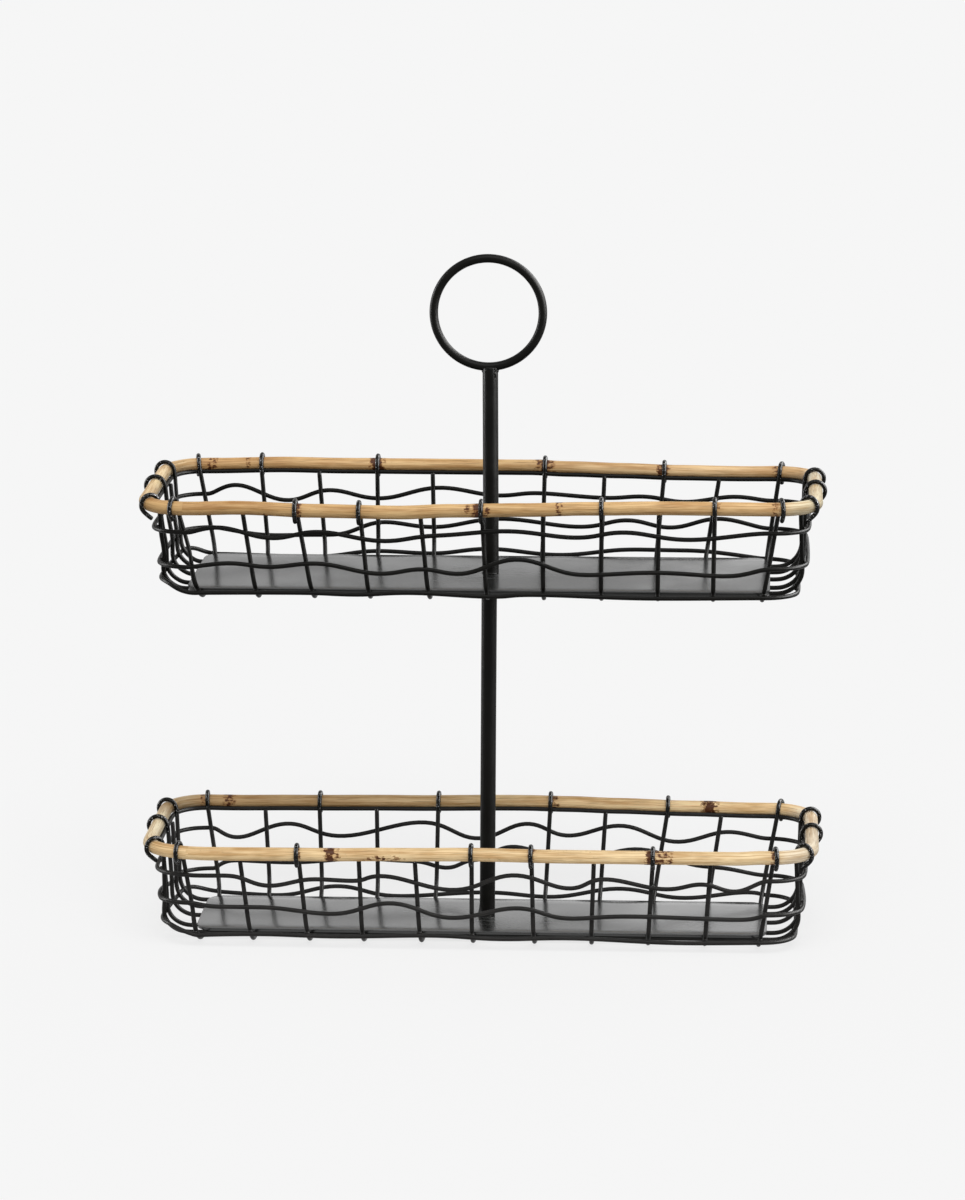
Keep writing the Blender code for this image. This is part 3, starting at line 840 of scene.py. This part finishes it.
def paper_finish(name, colour):
    """Return the floor's paper, which shows flat to the camera and keeps a faint shadow."""
    finish = Finish(bpy.data.materials.new(name))
    rays = finish.add("LightPath").outputs
    camera, gloss, glass = [rays[kind] for kind in SEEN_RAYS]
    seen = finish.larger(finish.larger(camera, gloss), glass)
    paper = finish.add("BsdfDiffuse", {"Color": (*colour, 1)})
    place = finish.add("TexCoord").outputs["Object"]
    away = finish.reach(finish.stretched(place, BOUNCE_SHAPE))
    bounce = finish.ramp(away, *BOUNCE_REACH, *FLOOR_BOUNCE)
    dim = finish.add("BsdfDiffuse", {"Color": finish.mix(bounce, (0, 0, 0, 1), (*colour, 1))})
    glow = finish.add("Emission", {"Color": (*colour, 1), "Strength": 1.0})
    flat = finish.add("MixShader", {0: FLOOR_GLOW, 1: paper.outputs[0], 2: glow.outputs[0]})
    shader = finish.add("MixShader", {0: seen, 1: dim.outputs[0], 2: flat.outputs[0]})
    return finish.surface(shader.outputs[0])


def sky_finish(name, colour, strength):
    """Return a sky that lights evenly, and shows the paper to the camera, to gloss and to glass."""
    sky = Finish(bpy.data.worlds.new(name), "OutputWorld")
    rays = sky.add("LightPath").outputs
    light = sky.add("Background", {"Color": (1, 1, 1, 1), "Strength": strength}).outputs[0]
    shown = sky.add("Background", {"Color": (*colour, 1)}).outputs[0]
    for kind in SEEN_RAYS:
        light = sky.add("MixShader", {0: rays[kind], 1: light, 2: shown}).outputs[0]
    return sky.surface(light)


def lengthen_tails(piece):
    """Draw both cut ends of an open wire out along their own lines."""
    mesh = bmesh.new()
    mesh.from_mesh(piece.data)
    ends = set()
    for edge in mesh.edges:
        if edge.is_manifold and edge.calc_face_angle() > END_EDGE_ANGLE:
            ends.update(edge.verts)
    for vertex in ends:
        caps = [face for face in vertex.link_faces if all(v in ends for v in face.verts)]
        vertex.co += caps[0].normal * LONG_TAIL
    mesh.to_mesh(piece.data)
    mesh.free()


def round_wire(node, hoop, closed=False):
    """Make a smooth round wire shaped on a frame node, with its hooks in the lumpier coat."""
    radius = bpy.context.scene.basket_sizes.wire_radius
    name = f"{node}_round"
    piece = merged_copy(node, name)
    if node.endswith(FRONT_WIRE):
        lengthen_tails(piece)
    if not closed:
        edit()
        bpy.ops.mesh.edges_select_sharp(sharpness=END_EDGE_ANGLE)
        bpy.ops.mesh.bevel(offset=END_BEVEL, segments=2)
        leave()
    if "wavy_ring" not in node:
        split_long_edges(piece, WIRE_STEP)
    set_wire(piece, node, hoop)
    if "cross_wire" not in node:
        tuck_left_foot(piece, hoop)
    bend_by_hand(piece, hoop)
    if closed:
        points = held_through_smoothing(tube_centres(piece), hoop)
        bpy.data.objects.remove(piece)
        piece = closed_wire(name, points, radius)
    else:
        smooth_tube(piece, radius, WIRE_FACETS)
    finish_piece(piece, "black_paint", (wire_coat(hoop.tray), wire_coat("hook")), node)
    if not closed:
        for face in piece.data.polygons:
            nearest = hoop.station(face.center)[1]
            face.material_index = int((face.center - nearest).length < HOOK_REACH)


class BASKET_OT_bent_wires(bpy.types.Operator):
    """Round the wires that cross each tray and the wires that run along it"""
    bl_idname = "basket.bent_wires"
    bl_label = "Bent wires"

    def execute(self, context):
        for tray in TRAYS:
            hoop = Hoop(tray)
            for node in sorted(frame["nodes"]):
                if node.startswith(tray) and ("cross_wire" in node or "long_wire" in node):
                    round_wire(node, hoop)
        return {"FINISHED"}


class BASKET_OT_wire_hoops(bpy.types.Operator):
    """Round the wavy rings and the rim wires"""
    bl_idname = "basket.wire_hoops"
    bl_label = "Wavy rings and rim wires"

    def execute(self, context):
        for tray in TRAYS:
            hoop = Hoop(tray)
            round_wire(f"{tray}_rim_wire", hoop, closed=True)
            for level in WAVE_LEVELS:
                round_wire(f"{tray}_wavy_ring_{level}", hoop, closed=True)
        return {"FINISHED"}


def draw_hoop(hoop, radius):
    """Draw a circle along each side of a hoop and spin it round each corner."""
    bpy.ops.object.select_all(action="DESELECT")
    bpy.ops.mesh.primitive_circle_add(
        vertices=CANE_SIDES, radius=radius, rotation=(0, math.pi / 2, 0),
        location=(-hoop.straight_x, -hoop.half_width, hoop.height))
    piece = bpy.context.object
    bpy.ops.object.transform_apply()
    edit("VERT", "SELECT")
    corner = Vector((-hoop.straight_x, -hoop.straight_y, hoop.height))
    for x, y in ((1, -1), (1, 1), (-1, 1), (-1, -1)):
        following = Vector((x * hoop.straight_x, y * hoop.straight_y, hoop.height))
        bpy.ops.mesh.extrude_region_move(TRANSFORM_OT_translate={"value": following - corner})
        bpy.ops.mesh.spin(steps=CANE_CORNER_STEPS, angle=-math.pi / 2, center=following, axis=UP)
        corner = following
    bpy.ops.mesh.select_all(action="SELECT")
    bpy.ops.mesh.remove_doubles(threshold=CANE_MERGE)
    bpy.ops.mesh.normals_make_consistent(inside=False)
    leave()
    split_long_edges(piece, CANE_STEP)
    return piece


def grow_cane(piece, hoop, knots, radius):
    """Swell the cane at its knots, make it a little uneven, and store where its skin lies."""
    length = hoop.length()
    mesh = piece.data
    knot_values, skin = [], []
    for vertex in mesh.vertices:
        along, centre, out = hoop.station(vertex.co)
        arm = vertex.co - centre
        angle = math.atan2(arm.z, arm.dot(out))
        skin.append((along, angle * radius))
        darkness, swell = 0.0, 0.0
        for place, knot in knots:
            away = abs((along - place + length / 2) % length - length / 2)
            turn = abs((angle - math.radians(knot.turn) + math.pi) % (2 * math.pi) - math.pi)
            patch = (away / (knot.reach * MM)) ** 2 + (turn / math.radians(knot.spread)) ** 2
            darkness = max(darkness, knot.darkness * math.exp(-patch))
            swell += knot.swell * MM * math.exp(-(away / CANE_SWELL_LENGTH) ** 2)
        knot_values.append(darkness)
        slow = noise.noise(Vector((along * SLOW_SCALE, hoop.height * CANE_SCALE, 0)))
        quick = noise.noise(vertex.co * QUICK_SCALE)
        grown = radius + swell + CANE_UNEVENNESS * (slow * SLOW_SHARE + quick * QUICK_SHARE)
        vertex.co = centre + arm.normalized() * grown
    mesh.attributes.new("knot", "FLOAT", "POINT").data.foreach_set("value", knot_values)
    layer = mesh.uv_layers.new(name="skin")
    girth = 2 * math.pi * radius
    for face in mesh.polygons:
        first = skin[mesh.loops[face.loop_start].vertex_index]
        for loop in face.loop_indices:
            u, v = skin[mesh.loops[loop].vertex_index]
            u -= round((u - first[0]) / length) * length
            v -= round((v - first[1]) / girth) * girth
            layer.data[loop].uv = (u, v)


class BASKET_OT_cane_rims(bpy.types.Operator):
    """Make the cane rims, with their knots and fibres"""
    bl_idname = "basket.cane_rims"
    bl_label = "Cane rims"

    def execute(self, context):
        radius = context.scene.basket_sizes.cane_radius
        for tray in TRAYS:
            hoop = Hoop(tray)
            piece = draw_hoop(hoop, radius)
            piece.name = piece.data.name = f"{tray}_cane"
            knots = [(hoop.side_place(side, knot.place * MM), knot)
                     for side in (FRONT, BACK) for knot in KNOTS[tray, side]]
            grow_cane(piece, hoop, knots, radius)
            bend_by_hand(piece, hoop)
            material = cane_finish(tray, context.scene.basket_colours)
            finish_piece(piece, "cane", (material,), f"{tray}_cane_rim")
        return {"FINISHED"}


def turn_lip_down(piece, depth):
    """Turn the edge of a plate down: its underside is inset and the border drawn out."""
    edit("FACE")
    select_where(piece, "faces", lambda face: face.normal.z < FACING_DOWN)
    bpy.ops.mesh.inset(thickness=LIP_WIDTH)
    select_where(piece, "faces", lambda face: face.normal.z < FACING_DOWN and not face.select)
    bpy.ops.mesh.extrude_region_move(TRANSFORM_OT_translate={"value": (0, 0, -depth)})
    leave()


class BASKET_OT_base_plates(bpy.types.Operator):
    """Turn the edges of the bottom plates down and round them"""
    bl_idname = "basket.base_plates"
    bl_label = "Bottom plates"

    def execute(self, context):
        for tray in TRAYS:
            material = sheet_finish(tray, context.scene.basket_colours.sheet_paint)
            piece = merged_copy(f"{tray}_base_plate", f"{tray}_sheet")
            # The lip is partly the plate's turned edge, partly a dark sheet standing in for the shade
            # under it
            turn_lip_down(piece, LIP_AND_SHADE_DEPTHS[tray])
            edit()
            bpy.ops.mesh.edges_select_sharp(sharpness=SHARP_ANGLE)
            bpy.ops.mesh.bevel(offset=context.scene.basket_sizes.plate_edge, segments=3)
            leave()
            finish_piece(piece, "plate_paint", (material,), f"{tray}_base_plate")
            bpy.ops.object.shade_smooth_by_angle(angle=SHARP_ANGLE)
        return {"FINISHED"}


def stand_pole(tray, flare):
    """Return a round bar on its foot weld: a cylinder whose foot is drawn down and to the left."""
    foot_height, flare_share, lean = POLE_FEET[tray]
    low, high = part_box(f"{tray}_pole")
    centre_x = (low.x + high.x) / 2
    foot = low.z + foot_height
    bpy.ops.object.select_all(action="DESELECT")
    bpy.ops.mesh.primitive_cylinder_add(
        vertices=POLE_SIDES, radius=POLE_RADIUS, depth=high.z - foot,
        location=(centre_x, 0, (high.z + foot) / 2))
    piece = bpy.context.object
    piece.name = piece.data.name = f"{tray}_bar"
    bpy.ops.object.transform_apply()
    edit("FACE")
    select_where(piece, "faces", lambda face: face.normal.z < FACING_DOWN)
    width, angle = 2 * POLE_RADIUS, 0.0
    for ring in range(1, FOOT_RINGS + 1):
        last, angle = angle, math.pi / 2 * ring / FOOT_RINGS
        drop = foot_height * (math.sin(angle) - math.sin(last))
        wider = 2 * POLE_RADIUS + flare * flare_share * (1 - math.cos(angle))
        bpy.ops.mesh.extrude_region_move(TRANSFORM_OT_translate={"value": (0, 0, -drop)})
        bpy.ops.transform.resize(value=(wider / width, wider / width, 1),
                                 center_override=(centre_x + POLE_RADIUS, 0, foot))
        width = wider
    leave()
    edit()
    select_where(piece, "edges",
                 lambda edge: all(vertex.co.z > high.z - MM for vertex in edge.verts))
    bpy.ops.mesh.bevel(offset=POLE_TOP_BEVEL, segments=4)
    leave()
    split_long_edges(piece, POLE_STEP)
    for vertex in piece.data.vertices:
        vertex.co.x -= lean * (high.z - vertex.co.z) / (high.z - low.z)
    return piece


def blob(places, name):
    """Return small round lumps, each at a matrix, as one piece."""
    bpy.ops.object.select_all(action="DESELECT")
    bpy.ops.mesh.primitive_uv_sphere_add(segments=WELD_SEGMENTS, ring_count=WELD_RINGS, radius=1)
    piece = bpy.context.object
    piece.name = piece.data.name = name
    lump = bmesh.new()
    lump.from_mesh(piece.data)
    made = bmesh.new()
    for matrix in places:
        copies = [made.verts.new(matrix @ vertex.co) for vertex in lump.verts]
        for face in lump.faces:
            made.faces.new([copies[vertex.index] for vertex in face.verts])
    made.to_mesh(piece.data)
    lump.free()
    made.free()
    return piece


class BASKET_OT_upright(bpy.types.Operator):
    """Stand the two lengths of the upright on their foot welds"""
    bl_idname = "basket.upright"
    bl_label = "Upright"

    def execute(self, context):
        for tray in reversed(TRAYS):
            piece = stand_pole(tray, context.scene.basket_sizes.foot_flare)
            finish_piece(piece, "black_paint", (wire_coat(),), f"{tray}_pole")
            bpy.ops.object.shade_smooth_by_angle(angle=SHARP_ANGLE)
        return {"FINISHED"}


class BASKET_OT_carry_ring(bpy.types.Operator):
    """Round the carrying ring and weld it to the upright"""
    bl_idname = "basket.carry_ring"
    bl_label = "Carrying ring"

    def execute(self, context):
        low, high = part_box("ring_handle")
        bar = (high.y - low.y) / 2
        piece = merged_copy("ring_handle", "carrying_ring")
        smooth_tube(piece, bar, RING_BAR_FACETS)
        finish_piece(piece, "black_paint", (wire_coat(),), "ring_handle")

        pole_low, pole_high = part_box("upper_pole")
        seam = Vector(((pole_low.x + pole_high.x) / 2, 0, low.z + bar))
        places = [Matrix.LocRotScale(seam + Vector(offset) * MM, None, Vector(size) * MM)
                  for offset, size in RING_WELD_LUMPS]
        weld = blob(places, "ring_weld")
        apply_modifier(weld, "SUBSURF", levels=1, render_levels=1)
        finish_piece(weld, "black_paint", (wire_coat("hook"),))
        return {"FINISHED"}


def touches(piece, tree):
    """Return where a piece comes close to another one, as (point, point on the other) pairs."""
    found = []
    for vertex in piece.data.vertices:
        nearest, _, _, distance = tree.find_nearest(vertex.co, TOUCH_REACH)
        if nearest:
            found.append((distance, vertex.co, nearest))
    found.sort(key=lambda row: row[0])
    kept = []
    for _, point, nearest in found:
        if all((point - other).length > WELD_SPACING for other, _ in kept):
            kept.append((point, nearest))
    return kept


class BASKET_OT_welds(bpy.types.Operator):
    """Weld the wires of each tray where they cross"""
    bl_idname = "basket.welds"
    bl_label = "Crossing welds"

    def execute(self, context):
        radius = context.scene.basket_sizes.weld_radius
        for tray in TRAYS:
            pieces = {name: bpy.data.objects[f"{name}_round"] for name in frame["nodes"]
                      if name.startswith(tray) and f"{name}_round" in bpy.data.objects}
            trees = {name: BVHTree.FromPolygons([v.co for v in piece.data.vertices],
                                                [p.vertices for p in piece.data.polygons])
                     for name, piece in pieces.items()}
            hoops = [name for name in pieces if "ring" in name or "rim" in name]
            long_wires = [name for name in pieces if "long_wire" in name]
            cross_wires = [name for name in pieces if "cross_wire" in name]
            pairs = [(hoop, wire) for hoop in hoops for wire in long_wires + cross_wires]
            pairs += [(wire, other) for wire in long_wires for other in cross_wires]
            places = []
            for first, second in pairs:
                for point, nearest in touches(pieces[first], trees[second]):
                    for _ in range(NEAREST_STEPS):
                        point = trees[first].find_nearest(nearest)[0]
                        nearest = trees[second].find_nearest(point)[0]
                    middle = (point + nearest) / 2
                    between = nearest - point
                    if between.length < MERGE_DISTANCE:
                        continue
                    turn = between.to_track_quat("Z", "Y")
                    share = 1 + WELD_UNEVENNESS * noise.noise(middle * WELD_NOISE_SCALE)
                    size = Vector((radius * share, radius * share, radius * WELD_THICKNESS_SHARE))
                    places.append(Matrix.LocRotScale(middle, turn, size))
            weld = blob(places, f"{tray}_tray_welds")
            finish_piece(weld, "black_paint", (wire_coat(tray),))
        return {"FINISHED"}


def add_lamp(kind, name, energy, place, aim=(0, 0, 0)):
    """Return a lamp that stands at one place and shines towards another."""
    bpy.ops.object.light_add(type=kind, location=place)
    lamp = bpy.context.object
    lamp.name = name
    lamp.data.energy = energy
    lamp.rotation_euler = (Vector(place) - Vector(aim)).to_track_quat("Z", "Y").to_euler()
    return lamp


class BASKET_OT_studio(bpy.types.Operator):
    """Lay the pale floor and set the lights and the camera"""
    bl_idname = "basket.studio"
    bl_label = "Studio"

    def execute(self, context):
        studio = context.scene.basket_studio
        colours = context.scene.basket_colours
        bpy.ops.object.select_all(action="DESELECT")
        bpy.ops.mesh.primitive_plane_add(size=FLOOR_SIZE, location=(0, 0, CAD_LOW.z - FLOOR_GAP))
        floor = context.object
        floor.name = "floor"
        floor.data.materials.append(paper_finish("pale_paper", colours.paper))
        context.scene.world = sky_finish("studio_sky", colours.paper, studio.sky)

        sun = add_lamp("SUN", "key_sun", studio.sun, SUN_FROM)
        sun.data.angle = SUN_SPREAD
        coats = {coat.material for coat in COATS.values()}
        painted = bpy.data.collections.new("painted_wire")
        for piece in context.scene.objects:
            if any(slot.name in coats for slot in piece.material_slots):
                painted.objects.link(piece)
        for panel in PANELS:
            lamp = add_lamp("AREA", panel.name, studio.side_lamp * panel.share, panel.place,
                            PANELS_AIM)
            lamp.data.shape = "RECTANGLE"
            lamp.data.size, lamp.data.size_y = panel.size
            lamp.visible_diffuse = lamp.visible_camera = False
            if panel.wires_only:
                lamp.light_linking.receiver_collection = painted

        bpy.ops.object.camera_add()
        camera = context.object
        camera.matrix_world = (
            Matrix.Translation(CAMERA_AIM) @ Matrix.Rotation(CAMERA_TURN, 4, "Z")
            @ Matrix.Translation((CAMERA_SHIFT, -studio.distance, CAMERA_HEIGHT))
            @ Matrix.Rotation(math.pi / 2 - CAMERA_PITCH, 4, "X")
            @ Matrix.Rotation(CAMERA_ROLL, 4, "Z"))
        camera.data.sensor_width = CAMERA_SENSOR
        camera.data.lens = studio.lens
        camera.data.clip_start, camera.data.clip_end = CAMERA_CLIP
        context.scene.camera = camera
        context.scene.view_settings.view_transform = "Standard"
        return {"FINISHED"}


class BASKET_PT_panel(bpy.types.Panel):
    """The basket's operators and settings"""
    bl_idname = "BASKET_PT_panel"
    bl_label = "Storage basket"
    bl_space_type = "VIEW_3D"
    bl_region_type = "UI"
    bl_category = "Basket"

    def draw(self, context):
        for operator in OPERATORS:
            self.layout.operator(operator.bl_idname)
        for group in GROUPS:
            settings = getattr(context.scene, group)
            box = self.layout.box()
            for key in settings.__annotations__:
                box.prop(settings, key)


GROUPS = {"basket_sizes": BasketSizes, "basket_colours": BasketColours, "basket_studio": BasketStudio}
OPERATORS = (BASKET_OT_bent_wires, BASKET_OT_wire_hoops, BASKET_OT_cane_rims,
             BASKET_OT_base_plates, BASKET_OT_upright, BASKET_OT_carry_ring,
             BASKET_OT_welds, BASKET_OT_studio)
CLASSES = (*GROUPS.values(), *OPERATORS, BASKET_PT_panel)


def register():
    """Register the settings, the operators and the panel."""
    for kind in CLASSES:
        bpy.utils.register_class(kind)
    for key, group in GROUPS.items():
        setattr(bpy.types.Scene, key, PointerProperty(type=group))


def unregister():
    """Take everything off again."""
    for key in GROUPS:
        delattr(bpy.types.Scene, key)
    for kind in reversed(CLASSES):
        bpy.utils.unregister_class(kind)


def main():
    """Build the looks in order."""
    register()
    bpy.ops.basket.bent_wires()
    bpy.ops.basket.wire_hoops()
    bpy.ops.basket.cane_rims()
    bpy.ops.basket.base_plates()
    bpy.ops.basket.upright()
    bpy.ops.basket.carry_ring()
    bpy.ops.basket.welds()
    bpy.ops.basket.studio()


if __name__ == "__main__":
    main()
